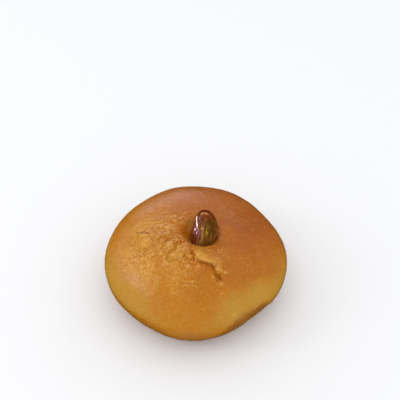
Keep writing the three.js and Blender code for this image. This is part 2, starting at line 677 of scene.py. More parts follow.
@dataclass(frozen=True)
class Crust:
    """Relief of the crust: lumps, the rough patch, puckers round the hollow, tear and splits."""

    lumps: tuple[Wave, ...] = (
        Wave(19.0, 20.0, 0.12, 60.0),
        Wave(23.0, 110.0, 0.10, 200.0),
        Wave(29.0, 160.0, 0.08, 310.0),
    )
    foot: Foot = Foot()
    tear: Tear = Tear()
    splits: tuple[Split, ...] = (
        # The wedge at the end of the tear, and the crevices that run on from it.
        Split(path((4.6, -14.4), (5.5, -15.0), (5.9, -16.2), (6.3, -17.5)), 0.25, 0.75, 0.0, 0.95),
        Split(path((5.9, -17.1), (6.5, -18.1), (6.7, -19.0), (6.9, -19.8)), 0.35, 0.7, 0.1, 0.75),
        Split(path((6.8, -17.3), (7.4, -18.0), (7.7, -19.0), (8.3, -19.7)), 0.35, 0.55, 0.1, 0.7),
        # The groove along the torn plate.
        Split(path((-1.3, -8.8), (-0.9, -10.4), (-0.6, -11.6), (-0.2, -13.2)), 0.2, 0.8, 0.0, 0.35),
        # The slit at the left, in three pieces, and the fold that runs on from it.
        Split(path((-19.0, -0.5), (-18.4, -0.8), (-17.8, -0.9)), 0.3, 0.26, 0.2, 0.9, 0.6),
        Split(path((-17.7, -1.3), (-17.0, -1.3), (-16.3, -1.2)), 0.35, 0.36, 0.2, 1.0, 0.8),
        Split(path((-16.1, -1.4), (-15.5, -1.8), (-14.8, -2.2)), 0.35, 0.28, 0.2, 1.0, 0.8),
        Split(path((-14.7, -2.8), (-13.9, -4.1), (-12.9, -5.8)), 0.3, 0.6, 0.1, 0.0),
        # Folds of the rough patch.
        Split(path((-3.2, -6.1), (-4.6, -6.6), (-5.8, -7.0)), 0.3, 0.75, 0.15, 0.1),
        Split(path((-5.6, -6.9), (-6.3, -8.2), (-6.9, -9.4), (-8.2, -10.3)), 0.35, 0.75, 0.2, 0.05),
        Split(path((-8.9, -5.0), (-10.4, -4.7), (-11.8, -5.4)), 0.2, 0.5, 0.1, 0.0),
        Split(path((-11.4, -0.8), (-9.5, -0.8), (-7.6, -1.2)), 0.2, 0.4, 0.15, 0.0),
        Split(path((-7.6, -4.6), (-5.3, -4.4), (-3.8, -5.1)), 0.25, 0.35, 0.15, 0.0),
        Split(path((-4.0, -11.6), (-2.5, -11.9), (-1.1, -12.4)), 0.25, 0.45, 0.1, 0.1),
        # Creases behind the rough patch and in front of it.
        Split(path((-16.4, 3.8), (-13.7, 3.2), (-11.0, 3.2)), 0.15, 0.3, 0.1, 0.25, 0.35),
        Split(path((-7.6, 3.9), (-4.7, 2.5), (-2.6, 3.5)), 0.15, 0.4, 0.1, 0.0),
        Split(path((-4.0, -20.7), (-2.2, -21.0), (-0.6, -20.8), (0.8, -21.3)), 0.15, 0.25, 0.1, 0.5, 0.35),
        Split(path((-4.2, -22.2), (-1.6, -21.8), (1.3, -22.4)), 0.08, 0.35, 0.08, 0.1),
        # Low ridges, which are splits with a depth below 0.
        Split(path((-8.6, -7.4), (-6.6, -7.3)), -0.3, 0.8, 0.0, 0.0),
        Split(path((-11.1, -6.3), (-9.6, -6.0)), -0.2, 0.6, 0.0, 0.0),
        Split(path((-10.2, -14.9), (-9.0, -14.5), (-8.2, -13.3)), -0.25, 0.5, 0.0, 0.0),
    )
    crumbs: tuple[Crumb, ...] = (
        Crumb((7.1, -16.2, 24.8), 0.6),
        Crumb((8.0, -16.4, 24.5), 0.5),
        Crumb((7.4, -15.2, 25.1), 0.45),
        Crumb((1.0, -15.1, 25.9), 0.6),
        Crumb((5.4, -18.8, 24.1), 0.4),
        Crumb((7.9, -20.5, 22.8), 0.5),
        Crumb((9.3, -16.9, 24.0), 0.45),
        Crumb((7.8, -23.2, 21.1), 0.4),
        Crumb((-0.8, -20.6, 23.8), 0.4, 0.25),
        Crumb((-2.1, -15.5, 25.7)),
        Crumb((-1.6, -11.4, 26.8), 0.65),
        Crumb((-10.7, -10.6, 25.8), 0.5),
        Crumb((-13.2, -10.5, 25.2), 0.5),
        Crumb((-14.6, 7.9, 25.2), 0.4),
        Crumb((11.8, -26.4, 15.1), 0.7),
    )
    fray: Shake = Shake(0.35, Ripple(1.2, 3.1, 2), Ripple(1.2, 8.4, 2))
    rough_patch: Oval = Oval((-8.3, -6.9), (16.2, 15.0))
    patch_edge: Span = (0.45, 1.18)
    patch_fray_width: float = 0.35
    patch_fray: Ripple = Ripple(5.0, 5.3, 2)
    bump_height: float = 0.15
    bumps: Ripple = Ripple(1.5, 6.1, 3)
    wrinkles: Wrinkles = Wrinkles()
    flakes: Flakes = Flakes()
    puckers: Puckers = Puckers()
    grains: Grains = Grains()
    smooth_height: float = 0.055
    smooth_waves: Ripple = Ripple(2.7, 9.7, 2)
    # The pit wall beside the kernel: it gets painted shade and syrup gloss, and its relief is calmed.
    syrup_pool: Oval = Oval((-2.9, -1.7), (2.7, 3.5))
    pool_calm: float = 0.75

    def patch(self, x: float, y: float) -> float:
        """Share of the rough patch at a place in plan, 0 on smooth crust to 1 in its middle."""
        fray = self.patch_fray_width * self.patch_fray.at(Vector((x, y, 0.0)))
        return 1 - smoothstep(self.rough_patch.off(x, y) + fray, *self.patch_edge)

    def fine_relief(self, point: Vector, patch: float, centre: Place) -> float:
        """Bumps, wrinkles, flakes and puckers of the rough patch, and the faint waves elsewhere.

        Args:
            point: Point of the crust, in millimetres.
            patch: Share of the rough patch there.
            centre: Middle of the hollow.

        Returns:
            Their height in millimetres.
        """
        fine = (1 - patch) * self.smooth_height * self.smooth_waves.at(point)
        if patch > 0:
            fine += patch * self.bump_height * self.bumps.at(point)
            fine += patch * (self.wrinkles.at(point) + self.flakes.at(point))
            fine += patch * self.puckers.at(point.x, point.y, centre)
        return fine

    def at(self, point: Vector, on_crown: float, centre: Place) -> CrustSpot:
        """Relief of the crust at a point of the plain dome.

        Args:
            point: Point of the plain dome, in millimetres.
            on_crown: 0 at the waist and below to 1 on the crown.
            centre: Middle of the hollow.

        Returns:
            The height along the surface's normal, and the marks for the finish.
        """
        shaded_pool_share = bell(self.syrup_pool.off(point.x, point.y), 1.0)
        patch = on_crown * self.patch(point.x, point.y) * (1 - self.pool_calm * shaded_pool_share)
        fine = self.fine_relief(point, patch, centre)
        frayed = self.fray.of(point)
        # dark gathers painted shade and lip gathers painted light, for the finish to read.
        step, scar, lip, dark = self.tear.shape(point)
        for split in self.splits:
            cut, inside, lip_light = split.shape(frayed.x, frayed.y)
            fine += on_crown * cut
            dark = max(dark, inside)
            lip = max(lip, lip_light)
        grain = self.grains.at(point, patch)
        for crumb in self.crumbs:
            share = crumb.share(frayed)
            fine += crumb.height * share
            grain = max(grain, share)
        ledge, browned = self.foot.shape(point)
        height = sum(wave.at(point.x, point.y) for wave in self.lumps) + fine + on_crown * step + ledge
        marks = {
            Layer.HEIGHT: fine,
            Layer.ROUGH: patch,
            Layer.SCAR: on_crown * scar,
            Layer.LIT_LIP: on_crown * lip,
            Layer.GRAIN: grain,
            Layer.SPLIT: on_crown * dark,
            Layer.FOOT: browned,
            Layer.SHADED_POOL: on_crown * shaded_pool_share,
        }
        return CrustSpot(height + self.grains.height * grain, marks)


@dataclass(frozen=True)
class Ramp:
    """Eased way from a start, which gives 0, to an end, which gives the top."""

    start: float
    end: float
    top: float = 1.0


@dataclass(frozen=True)
class Pattern:
    """Random pattern: how often it repeats in one unit, its finer layers and its distortion."""

    scale: float
    detail: float = 2.0
    warp: float = 0.0


@dataclass(frozen=True)
class Spot:
    """A round spot: its middle, and its strength over the distance from there."""

    middle: Point
    ramp: Ramp


@dataclass(frozen=True)
class Wash:
    """A colour that shows where a value climbs a ramp."""

    ramp: Ramp
    colour: Colour


@dataclass(frozen=True)
class Tint:
    """A colour that shows where the mesh carries a mark, up to a share."""

    layer: Layer
    colour: Colour
    share: float = 1.0


@dataclass(frozen=True)
class ColourSpot:
    """A soft, round patch of colour on the crust."""

    spot: Spot
    colour: Colour


@dataclass(frozen=True)
class Stripe:
    """A stripe along the kernel: its place across it, its edges, the spot where it shows, its colour."""

    place: float
    ramp: Ramp
    spot: Spot
    colour: Colour


@dataclass(frozen=True)
class Wires:
    """Adds and joins the nodes of one shader tree."""

    tree: bpy.types.NodeTree

    def feed(self, node: Node, inputs: Inputs) -> None:
        """Join outputs to the inputs of a node, or set the inputs' own values.

        Args:
            node: Node to feed.
            inputs: Output sockets, numbers or colours, under the names or indexes of the inputs.
        """
        for name, value in inputs.items():
            socket = node.inputs[name]
            if isinstance(value, bpy.types.NodeSocket):
                self.tree.links.new(value, socket)
            elif isinstance(value, tuple) and socket.type == "RGBA":
                socket.default_value = (*value, 1.0)
            else:
                socket.default_value = value

    def add(self, kind: str, inputs: Inputs | None = None, **settings: object) -> Node:
        """Add a node.

        Args:
            kind: Blender's name of the node.
            inputs: What feeds it.
            settings: Attributes of the node to set.

        Returns:
            The new node.
        """
        node = self.tree.nodes.new(kind)
        for name, value in settings.items():
            setattr(node, name, value)
        self.feed(node, inputs or {})
        return node

    def calc(self, way: Sum, *values: object) -> Socket:
        """Result of a sum of output sockets and numbers."""
        return self.add("ShaderNodeMath", dict(enumerate(values)), operation=way.value).outputs[0]

    def gap(self, value: Socket, centre: float) -> Socket:
        """How far a value lies from a centre, to either side."""
        return self.calc(Sum.ABSOLUTE, self.calc(Sum.SUBTRACT, value, centre))

    def climb(self, value: Socket, ramp: Ramp) -> Socket:
        """Height of a ramp at a value.

        Args:
            value: Output socket to read.
            ramp: The ramp, which may run up or down.

        Returns:
            The output socket, from 0 to the ramp's top.
        """
        (low, at_low), (high, at_high) = sorted(((ramp.start, 0.0), (ramp.end, ramp.top)))
        inputs = {"Value": value, "From Min": low, "From Max": high, "To Min": at_low, "To Max": at_high}
        return self.add("ShaderNodeMapRange", inputs, interpolation_type="SMOOTHSTEP").outputs["Result"]

    def blend(self, share: Socket, base: object, over: object) -> Socket:
        """One colour laid over another, as much as a share says."""
        inputs = {MIX_SHARE: share, MIX_BASE: base, MIX_OVER: over}
        return self.add("ShaderNodeMix", inputs, data_type="RGBA").outputs[MIX_RESULT]

    def wash(self, value: Socket, base: object, wash: Wash) -> Socket:
        """A wash laid over a colour, by a value."""
        return self.blend(self.climb(value, wash.ramp), base, wash.colour)

    def mark(self, layer: Layer) -> Socket:
        """The value that the mesh carries under a name."""
        return self.add("ShaderNodeAttribute", attribute_name=layer.value).outputs["Fac"]

    def along(self, place: Socket, direction: Point) -> Socket:
        """How far coordinates reach along a direction, times the direction's length."""
        inputs = {0: place, 1: direction}
        return self.add("ShaderNodeVectorMath", inputs, operation="DOT_PRODUCT").outputs["Value"]

    def apart(self, place: Socket, centre: Point) -> Socket:
        """Distance of coordinates from a centre."""
        inputs = {0: place, 1: centre}
        return self.add("ShaderNodeVectorMath", inputs, operation="DISTANCE").outputs["Value"]

    def spot(self, place: Socket, spot: Spot) -> Socket:
        """Strength of a spot."""
        return self.climb(self.apart(place, spot.middle), spot.ramp)

    def cloud(self, place: Socket, pattern: Pattern) -> Socket:
        """Random pattern over the surface, about 0.5 in the mean."""
        size = {"Scale": pattern.scale, "Detail": pattern.detail, "Distortion": pattern.warp}
        return self.add("ShaderNodeTexNoise", {"Vector": place, **size}).outputs["Fac"]

    def scaled(self, place: Socket, scale: Point) -> Socket:
        """Coordinates stretched by a factor for each axis."""
        return self.add("ShaderNodeMapping", {"Vector": place, "Scale": scale}).outputs["Vector"]

    def in_millimetres(self) -> Socket:
        """The piece's own coordinates, in millimetres."""
        return self.scaled(self.add("ShaderNodeTexCoord").outputs["Object"], (1 / MM,) * 3)

    def bump(self, height: Socket, strength: float, depth: float) -> Socket:
        """Normal of a relief that is finer than the mesh, its depth in millimetres."""
        inputs = {"Height": height, "Strength": strength, "Distance": depth * MM}
        return self.add("ShaderNodeBump", inputs).outputs["Normal"]


@dataclass(frozen=True)
class SyrupFilm:
    """Thin syrup that dries in blotches: it varies the roughness and the wet coat of a surface."""

    name: str = "syrup_film"
    blotch: Pattern = Pattern(0.32, 3.0)
    fleck: Pattern = Pattern(1.9)
    pattern_share: float = 0.5
    wet: Ramp = Ramp(0.38, 0.62)
    sockets: tuple[tuple[str, str, str], ...] = (
        ("Place", "INPUT", "NodeSocketVector"),
        ("Dry", "INPUT", "NodeSocketFloat"),
        ("Wet", "INPUT", "NodeSocketFloat"),
        ("Roughness", "OUTPUT", "NodeSocketFloat"),
        ("Coat", "OUTPUT", "NodeSocketFloat"),
    )

    def group(self) -> bpy.types.NodeTree:
        """Shader node group of the film, built once.

        Returns:
            A group with the inputs Place, Dry and Wet and the outputs Roughness and Coat.
        """
        known = bpy.data.node_groups.get(self.name)
        if known:
            return known
        tree = bpy.data.node_groups.new(self.name, "ShaderNodeTree")
        for name, way, kind in self.sockets:
            tree.interface.new_socket(name, in_out=way, socket_type=kind)
        wires = Wires(tree)
        given = wires.add("NodeGroupInput").outputs
        blotches = wires.cloud(given["Place"], self.blotch)
        both = wires.calc(Sum.ADD, blotches, wires.cloud(given["Place"], self.fleck))
        share = wires.climb(wires.calc(Sum.MULTIPLY, both, self.pattern_share), self.wet)
        inputs = {"Value": share, "To Min": given["Dry"], "To Max": given["Wet"]}
        roughness = wires.add("ShaderNodeMapRange", inputs).outputs["Result"]
        wires.add("NodeGroupOutput", {"Roughness": roughness, "Coat": share})
        return tree

    def place_in(self, wires: Wires, place: Socket, dry: float, wet: float) -> Node:
        """The film's node in a material, with the roughness where it has dried and where it is wet."""
        inputs = {"Place": place, "Dry": dry, "Wet": wet}
        return wires.add("ShaderNodeGroup", inputs, node_tree=self.group())


def new_material(name: str) -> tuple[Material, Wires, Node]:
    """An empty material.

    Args:
        name: Its name.

    Returns:
        The material, the wires of its tree and its shader.
    """
    material = bpy.data.materials.new(name)
    material.use_nodes = True
    wires = Wires(material.node_tree)
    material.node_tree.nodes.clear()
    shader = wires.add("ShaderNodeBsdfPrincipled")
    wires.add("ShaderNodeOutputMaterial", {"Surface": shader.outputs["BSDF"]})
    return material, wires, shader


# Colours that more than one field of a finish uses.
# Pale semolina flecks, and painted light on the crests of the rough patch.
PALE_FLECK_AND_CREST_LIGHT = srgb(232, 172, 88)
# Darker crust flecks, and painted shade in the low places of the relief.
DARK_FLECK_AND_HOLLOW_SHADE = srgb(170, 94, 0)
# Pale grains, and painted light on the torn plate and the lips of splits.
GRAIN_AND_LIT_LIP = srgb(234, 174, 76)
SHADED_SKIN = srgb(84, 38, 2)
PALE_SKIN = srgb(190, 136, 80)
RUSSET_SKIN = srgb(134, 64, 22)


@dataclass(frozen=True)
class CrustFinish:
    """Baked semolina crust: golden sides, a browned crown, pale grains, syrup in the hollows, painted
    shade in the hollows, splits and pit, and painted light on the crests and the torn plate.

    Heights and places are in millimetres.
    """

    amber: Colour = srgb(195, 120, 0)
    tan: Colour = srgb(213, 150, 46)
    gold: Colour = srgb(196, 144, 46)
    band: Colour = srgb(180, 116, 46)
    drift: Pattern = Pattern(0.11, 3.0, 0.5)
    drift_height: float = 6.5
    drift_brown: float = 0.9
    gold_heights: Ramp = Ramp(20.0, 11.8)
    gold_foot: Ramp = Ramp(9.0, 13.0)
    gold_lifts: tuple[Spot, ...] = (
        Spot((15.5, -23.5, 17.3), Ramp(15.0, 4.0, 4.0)),
        Spot((-26.0, -14.0, 17.0), Ramp(20.0, 6.0, 3.0)),
    )
    gold_round_front: Spot = Spot((-3.0, -28.5, 9.0), Ramp(4.0, 17.0, 0.8))
    gold_in_front: float = 0.2
    wear: Pattern = Pattern(0.22)
    ochre: Wash = Wash(Ramp(0.4, 0.6), srgb(209, 138, 40))
    browned_way: Point = (0.024, 0.013, 0.09)
    brown: Wash = Wash(Ramp(1.61, 2.74), srgb(176, 93, 27))
    stains_and_painted_light: tuple[ColourSpot, ...] = (
        ColourSpot(Spot((0.5, -21.8, 22.8), Ramp(9.0, 2.5, 0.5)), srgb(188, 108, 0)),
        ColourSpot(Spot((-1.0, -26.5, 6.5), Ramp(9.0, 3.0, 0.6)), srgb(186, 128, 66)),
        ColourSpot(Spot((-8.0, -2.0, 26.8), Ramp(7.0, 2.0, 0.35)), srgb(190, 104, 0)),
        # Painted light: paler crust right of the kernel, where the kernel's shade falls.
        ColourSpot(Spot((9.8, -1.6, 26.2), Ramp(5.0, 1.5, 0.4)), srgb(214, 124, 14)),
        ColourSpot(Spot((16.5, 4.5, 24.0), Ramp(11.0, 2.0, 0.45)), srgb(158, 78, 10)),
    )
    # Painted light: the crests of the rough patch are paler.
    crest_light: Wash = Wash(Ramp(0.0, 0.25, 0.55), PALE_FLECK_AND_CREST_LIGHT)
    # Painted shade: the low places of the relief are deeper orange.
    hollow_shade: Wash = Wash(Ramp(-0.04, -0.34, 0.75), DARK_FLECK_AND_HOLLOW_SHADE)
    tints: tuple[Tint, ...] = (
        Tint(Layer.SCAR, srgb(190, 97, 0), 0.75),
        # Painted light on the torn plate, its wall and the lips of splits.
        Tint(Layer.LIT_LIP, GRAIN_AND_LIT_LIP, 0.82),
        # Painted shade on the pit wall beside the kernel.
        Tint(Layer.SHADED_POOL, srgb(186, 92, 0)),
        # Painted shade in the splits and below the torn plate.
        Tint(Layer.SPLIT, srgb(138, 66, 0)),
    )
    # Browned foot that darkens towards the bottom: partly its own browning, partly painted shade where the
    # side turns under.
    foot: Wash = Wash(Ramp(13.2, 10.2), srgb(157, 99, 24))
    foot_share: float = 0.9
    coarse_flecks: Pattern = Pattern(0.8, 3.0, 2.4)
    fine_flecks: Pattern = Pattern(2.3, 2.0, 0.8)
    fine_share: float = 0.7
    fleck_shift: float = -0.35
    flecks_on_smooth: float = 0.28
    flecks: tuple[Wash, ...] = (
        Wash(Ramp(0.52, 0.7, 0.9), PALE_FLECK_AND_CREST_LIGHT),
        Wash(Ramp(0.48, 0.3, 0.7), DARK_FLECK_AND_HOLLOW_SHADE),
    )
    grain: Tint = Tint(Layer.GRAIN, GRAIN_AND_LIT_LIP, 0.7)
    shine: float = 0.4
    dry: float = 0.36
    wet: float = 0.25
    soaked_heights: Ramp = Ramp(0.0, -0.25)
    soaked_gloss: float = 0.2
    coat: float = 0.08
    coat_roughness: float = 0.3
    grit: Pattern = Pattern(1.6, 3.0, 0.8)
    grit_on_smooth: float = 0.55
    grit_strength: float = 0.6
    grit_height: float = 0.22
    film: SyrupFilm = SyrupFilm()

    def material(self) -> Material:
        """Material of the crust.

        Returns:
            The finished material.
        """
        material, wires, shader = new_material("baked_crust")
        place = wires.in_millimetres()
        colour = self.browning(wires, place)
        colour = self.tearing(wires, place, colour)
        film = self.film.place_in(wires, place, self.dry, self.wet).outputs
        soaked = wires.climb(wires.mark(Layer.HEIGHT), self.soaked_heights)
        for layer in (Layer.SHADED_POOL, Layer.SPLIT):
            soaked = wires.calc(Sum.MAXIMUM, soaked, wires.mark(layer))
        coat = wires.calc(Sum.MULTIPLY, film["Coat"], wires.calc(Sum.SUBTRACT, 1.0, soaked))
        strength = self.most_on_rough(wires, self.grit_on_smooth)
        grit = wires.calc(Sum.MULTIPLY, strength, wires.cloud(place, self.grit))
        inputs = {
            "Base Color": self.speckle(wires, place, colour),
            "Roughness": wires.calc(Sum.MULTIPLY_ADD, soaked, -self.soaked_gloss, film["Roughness"]),
            "Specular IOR Level": self.shine,
            "Coat Weight": wires.calc(Sum.MULTIPLY, coat, self.coat),
            "Coat Roughness": self.coat_roughness,
            "Normal": wires.bump(grit, self.grit_strength, self.grit_height),
        }
        wires.feed(shader, inputs)
        return material

    def most_on_rough(self, wires: Wires, on_smooth: float) -> Socket:
        """Strength that is 1 in the rough patch and less on smooth crust."""
        return wires.calc(Sum.MULTIPLY_ADD, wires.mark(Layer.ROUGH), 1 - on_smooth, on_smooth)

    def tinted(self, wires: Wires, colour: Socket, tint: Tint) -> Socket:
        """A colour with a tint laid over it where the mesh is marked."""
        share = wires.calc(Sum.MULTIPLY, wires.mark(tint.layer), tint.share)
        return wires.blend(share, colour, tint.colour)

    def browning(self, wires: Wires, place: Socket) -> Socket:
        """Colour that the oven gave: gold low on the sides, browner at the right and the back, and a patch
        of painted light right of the kernel.

        Args:
            wires: Tree of the material.
            place: Coordinates in millimetres.

        Returns:
            The colour so far.
        """
        drift = wires.calc(Sum.SUBTRACT, wires.cloud(place, self.drift), PATTERN_MEAN)
        side = wires.calc(Sum.MULTIPLY_ADD, drift, self.drift_height, wires.along(place, UP))
        above_foot = wires.climb(side, self.gold_foot)
        for lift in self.gold_lifts:
            side = wires.calc(Sum.SUBTRACT, side, wires.spot(place, lift))
        gold = wires.calc(Sum.MULTIPLY, wires.climb(side, self.gold_heights), above_foot)
        kept = wires.calc(Sum.ADD, wires.spot(place, self.gold_round_front), self.gold_in_front)
        gold = wires.calc(Sum.MULTIPLY, gold, kept)
        way = wires.along(place, self.browned_way)
        browned = wires.calc(Sum.MULTIPLY_ADD, drift, self.drift_brown, way)
        worn = wires.wash(wires.cloud(place, self.wear), self.tan, self.ochre)
        colour = wires.blend(wires.mark(Layer.ROUGH), self.amber, worn)
        colour = wires.wash(browned, colour, self.brown)
        for colour_spot in self.stains_and_painted_light:
            colour = wires.blend(wires.spot(place, colour_spot.spot), colour, colour_spot.colour)
        return wires.blend(gold, colour, self.gold)

    def tearing(self, wires: Wires, place: Socket, colour: Socket) -> Socket:
        """Painted light on the crests, painted shade in the hollows, the torn crumb, painted light on the
        torn plate, painted shade in the splits and the pit, and the browned foot, which also gets painted
        shade towards its bottom.

        Args:
            wires: Tree of the material.
            place: Coordinates in millimetres.
            colour: Colour of the oven's browning.

        Returns:
            The colour so far.
        """
        height = wires.mark(Layer.HEIGHT)
        crest = wires.calc(Sum.MULTIPLY, wires.climb(height, self.crest_light.ramp), wires.mark(Layer.ROUGH))
        colour = wires.blend(crest, colour, self.crest_light.colour)
        colour = wires.wash(height, colour, self.hollow_shade)
        for tint in self.tints:
            colour = self.tinted(wires, colour, tint)
        foot = wires.wash(wires.along(place, UP), self.band, self.foot)
        share = wires.calc(Sum.MULTIPLY, wires.mark(Layer.FOOT), self.foot_share)
        return wires.blend(share, colour, foot)

    def speckle(self, wires: Wires, place: Socket, colour: Socket) -> Socket:
        """Fine flecks of pale semolina and darker crust, and the grains that stand out.

        Args:
            wires: Tree of the material.
            place: Coordinates in millimetres.
            colour: Colour without the flecks.

        Returns:
            The finished colour.
        """
        fine = wires.cloud(place, self.fine_flecks)
        fine = wires.calc(Sum.MULTIPLY_ADD, fine, self.fine_share, self.fleck_shift)
        fleck = wires.calc(Sum.ADD, fine, wires.cloud(place, self.coarse_flecks))
        strength = self.most_on_rough(wires, self.flecks_on_smooth)
        for wash in self.flecks:
            share = wires.calc(Sum.MULTIPLY, wires.climb(fleck, wash.ramp), strength)
            colour = wires.blend(share, colour, wash.colour)
        return self.tinted(wires, colour, self.grain)


@dataclass(frozen=True)
class KernelFinish:
    """Pistachio kernel under syrup: red-brown skin that thins to green in streaks.

    Places are points of a unit ball, before it is drawn out to the kernel.
    """

    skin: Colour = srgb(94, 14, 0)
    # Purple skin, with painted lilac sheen where reflections bead low on the kernel's left.
    plum_and_sheen: Colour = srgb(176, 116, 134)
    tip: Colour = srgb(208, 142, 82)
    streaks: Pattern = Pattern(7.0, 4.0, 0.6)
    streak_scale: Point = (1.0, 1.0, 0.16)
    across_drift: float = 0.5
    along_drift: float = 0.6
    bands: tuple[Wash, ...] = (
        Wash(Ramp(-0.75, -0.5), srgb(132, 82, 40)),
        Wash(Ramp(-0.15, 0.02), srgb(110, 76, 2)),
        Wash(Ramp(0.2, 0.38), srgb(96, 64, 12)),
        Wash(Ramp(0.45, 0.75), srgb(114, 68, 26)),
    )
    plum_spot: Spot = Spot((-0.6, -0.74, 0.25), Ramp(0.26, 0.1))
    plum_streaks: Ramp = Ramp(0.38, 0.55, 0.8)
    stripes: tuple[Stripe, ...] = (
        Stripe(0.06, Ramp(0.06, 0.01), Spot((0.06, -0.93, 0.36), Ramp(0.3, 0.1)), srgb(190, 162, 40)),
        Stripe(-0.2, Ramp(0.12, 0.03, 0.6), Spot((-0.2, -0.94, 0.25), Ramp(0.5, 0.2)), PALE_SKIN),
    )
    upper_end: Wash = Wash(Ramp(0.62, 0.86, 0.85), RUSSET_SKIN)
    mottle: Pattern = Pattern(5.5, 3.0, 0.5)
    dark_mottle: Wash = Wash(Ramp(0.52, 0.4, 0.55), SHADED_SKIN)
    dark_streaks: Wash = Wash(Ramp(0.47, 0.36, 0.6), SHADED_SKIN)
    pale_streaks: Wash = Wash(Ramp(0.58, 0.68, 0.3), PALE_SKIN)
    low_shade: Wash = Wash(Ramp(0.1, -0.12, 0.35), SHADED_SKIN)
    back_way: Point = (0.0, 0.8, -0.37)
    back_drift: float = 0.35
    back_edge: Ramp = Ramp(-0.47, -0.32, 0.9)
    back_streaks: Wash = Wash(Ramp(0.5, 0.66), RUSSET_SKIN)
    # Painted glint: a small pale spot of syrup highlight on the kernel's front.
    fleck: Spot = Spot((-0.3, -0.82, 0.49), Ramp(0.1, 0.04, 0.9))
    cap_middle: Point = (-0.07, -0.3, 0.95)
    cap_radius: float = 0.17
    cap_edge: Ramp = Ramp(0.075, 0.04, 0.9)
    cap_back: Ramp = Ramp(-0.29, -0.2)
    dry: float = 0.3
    wet: float = 0.14
    shine: float = 0.25
    dry_coat: float = 0.4
    wet_coat: float = 0.8
    coat_roughness: float = 0.08
    ridge_strength: float = 0.3
    ridge_height: float = 0.12
    film: SyrupFilm = SyrupFilm()

    def material(self) -> Material:
        """Material of the kernel.

        Returns:
            The finished material.
        """
        material, wires, shader = new_material("pistachio_skin")
        seed = wires.add("ShaderNodeAttribute", attribute_name=Layer.SEED.value).outputs["Vector"]
        streaks = wires.cloud(wires.scaled(seed, self.streak_scale), self.streaks)
        film = self.film.place_in(wires, wires.in_millimetres(), self.dry, self.wet).outputs
        wetter = self.wet_coat - self.dry_coat
        inputs = {
            "Base Color": self.colour(wires, seed, streaks),
            "Roughness": film["Roughness"],
            "Specular IOR Level": self.shine,
            "Coat Weight": wires.calc(Sum.MULTIPLY_ADD, film["Coat"], wetter, self.dry_coat),
            "Coat Roughness": self.coat_roughness,
            "Normal": wires.bump(streaks, self.ridge_strength, self.ridge_height),
        }
        wires.feed(shader, inputs)
        return material

    def colour(self, wires: Wires, seed: Socket, streaks: Socket) -> Socket:
        """Colour of the skin: red at the left and the back, umber and green in front, bark at the right,
        with painted lilac sheen low at the left and a painted syrup glint in front.

        Args:
            wires: Tree of the material.
            seed: Place on the kernel as a point of a unit ball.
            streaks: Pattern that runs along the kernel.

        Returns:
            The finished colour.
        """
        drift = wires.calc(Sum.SUBTRACT, streaks, PATTERN_MEAN)
        across = wires.calc(Sum.MULTIPLY_ADD, drift, self.across_drift, wires.along(seed, RIGHT))
        along = wires.calc(Sum.MULTIPLY_ADD, drift, self.along_drift, wires.along(seed, UP))
        colour = self.skin
        for band in self.bands:
            colour = wires.wash(across, colour, band)
        plum_and_sheen = wires.climb(streaks, self.plum_streaks)
        plum_and_sheen = wires.calc(Sum.MULTIPLY, plum_and_sheen, wires.spot(seed, self.plum_spot))
        colour = wires.blend(plum_and_sheen, colour, self.plum_and_sheen)
        for stripe in self.stripes:
            line = wires.climb(wires.gap(across, stripe.place), stripe.ramp)
            share = wires.calc(Sum.MULTIPLY, line, wires.spot(seed, stripe.spot))
            colour = wires.blend(share, colour, stripe.colour)
        colour = wires.wash(along, colour, self.upper_end)
        colour = wires.wash(wires.cloud(seed, self.mottle), colour, self.dark_mottle)
        colour = wires.wash(streaks, colour, self.dark_streaks)
        colour = wires.wash(streaks, colour, self.pale_streaks)
        colour = wires.wash(along, colour, self.low_shade)
        behind = wires.calc(Sum.MULTIPLY_ADD, drift, self.back_drift, wires.along(seed, self.back_way))
        back = wires.wash(streaks, self.skin, self.back_streaks)
        colour = wires.blend(wires.climb(behind, self.back_edge), colour, back)
        # Painted glint of syrup on the kernel's front.
        colour = wires.blend(wires.spot(seed, self.fleck), colour, self.tip)
        ring = wires.gap(wires.apart(seed, self.cap_middle), self.cap_radius)
        cap = wires.climb(wires.along(seed, BACK), self.cap_back)
        cap = wires.calc(Sum.MULTIPLY, cap, wires.climb(ring, self.cap_edge))
        return wires.blend(cap, colour, self.tip)


def finish_piece(bm: Mesh, name: str, material: Material) -> Piece:
    """Turn a worked mesh into a smooth object at the origin.

    Args:
        bm: The mesh, in metres, which is used up.
        name: Name of the piece.
        material: Its finish.

    Returns:
        The linked object.
    """
    bmesh.ops.recalc_face_normals(bm, faces=bm.faces)
    for face in bm.faces:
        face.smooth = True
    mesh = bpy.data.meshes.new(name)
    bm.to_mesh(mesh)
    bm.free()
    mesh.materials.append(material)
    piece = bpy.data.objects.new(name, mesh)
    bpy.context.scene.collection.objects.link(piece)
    return piece


def settle(bm: Mesh, node: CadNode) -> None:
    """Bring a mesh from millimetres to metres, onto the middle of its solid's box.

    The biscuit rests on the bottom of its box instead of standing at mid height.

    Args:
        bm: The mesh, in millimetres.
        node: The solid that it stands for.
    """
    bmesh.ops.scale(bm, vec=(MM,) * 3, verts=bm.verts)
    columns = list(zip(*(vert.co for vert in bm.verts)))
    low, high = Vector(map(min, columns)), Vector(map(max, columns))
    solid_low, solid_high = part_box(node.value)
    shift = (solid_low + solid_high - low - high) / 2
    if node is CadNode.BISCUIT:
        shift.z = solid_low.z - low.z
    bmesh.ops.translate(bm, vec=shift, verts=bm.verts)


